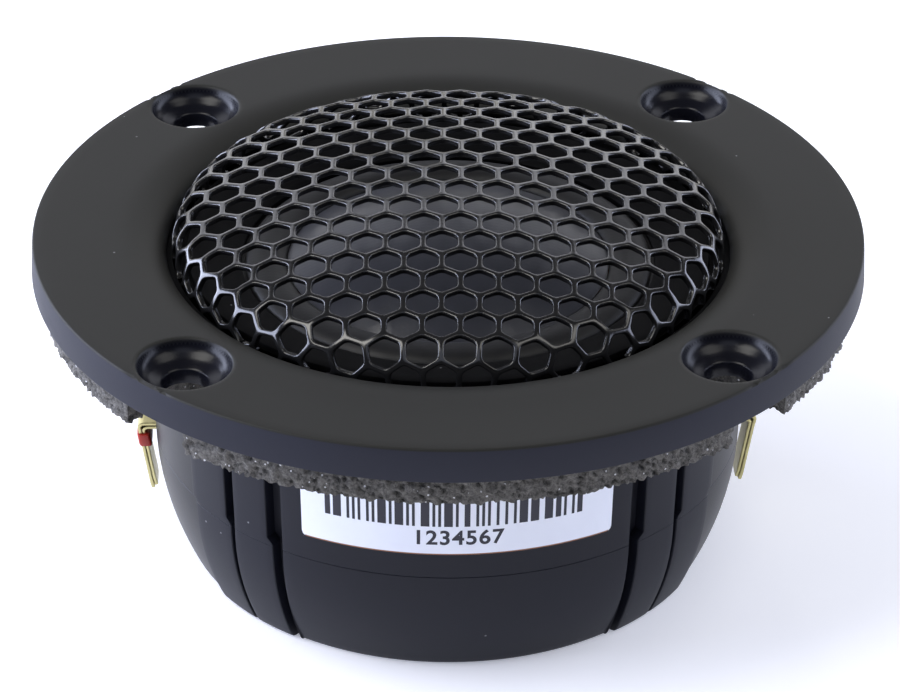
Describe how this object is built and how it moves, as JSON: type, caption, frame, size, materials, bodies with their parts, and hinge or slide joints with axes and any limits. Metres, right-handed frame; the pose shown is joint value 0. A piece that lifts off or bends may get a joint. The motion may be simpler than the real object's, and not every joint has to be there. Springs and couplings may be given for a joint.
{
  "type": "car tweeter",
  "caption": "Round flush-mount dome tweeter: flanged faceplate with a domed hexagon-mesh grille, slotted cylindrical body with rear cup, side tabs and a foam gasket.",
  "frame": {"origin": "centre of the rear cup's flat rear face", "axes": "+Z out of the front along the listening axis, -Y towards the label, +X towards the unmarked terminal"},
  "size_m": [0.0724, 0.0724, 0.0346],
  "materials": {
    "moulded_plastic": "satin black moulded plastic with a very fine grain",
    "black_steel": "semi-gloss black paint on pressed perforated steel",
    "coated_cloth": "grey coated woven cloth with a soft sheen",
    "surround_cloth": "dark coated woven cloth",
    "ring_plastic": "matt black",
    "foil": "thin foil",
    "copper": "enamelled or bare copper",
    "motor_steel": "zinc-plated turned steel",
    "magnet_plating": "bright nickel plating",
    "felt": "grey wool felt",
    "foam": "open-cell dark grey foam",
    "tab_brass": "pale tinned brass sheet",
    "red_plastic": "red moulded plastic",
    "wire_plastic": "black wire insulation",
    "label_paper": null
  },
  "bodies": {
    "housing": {"faceplate": "moulded_plastic", "grille": "black_steel", "diaphragm_ring": "ring_plastic", "copper_cap": "copper", "pole_plate": "motor_steel", "magnet": "magnet_plating", "yoke": "motor_steel", "pole_felt": "felt", "chassis": "moulded_plastic", "rear_cup": "moulded_plastic", "chamber_felt": "felt", "gasket_front": "foam", "gasket_right": "foam", "gasket_rear": "foam", "gasket_left": "foam", "terminal_left": "tab_brass", "terminal_right": "tab_brass", "hookup_wire_left": "red_plastic", "hookup_wire_right": "wire_plastic", "polarity_sleeve": "red_plastic", "serial_label": "label_paper", "surround": "surround_cloth", "coil_lead_left": "copper", "coil_lead_right": "copper"},
    "diaphragm": {"dome": "coated_cloth", "voice_coil_former": "foil", "voice_coil": "copper"}
  },
  "joints": [
    {"name": "diaphragm_slide", "type": "slide", "parent": "housing", "child": "diaphragm", "axis": [0, 0, 1], "range_m": [-0.0005, 0.0005], "stiffness_N_per_m": 15000, "deforming": ["surround", "coil_lead_left", "coil_lead_right"]}
  ]
}
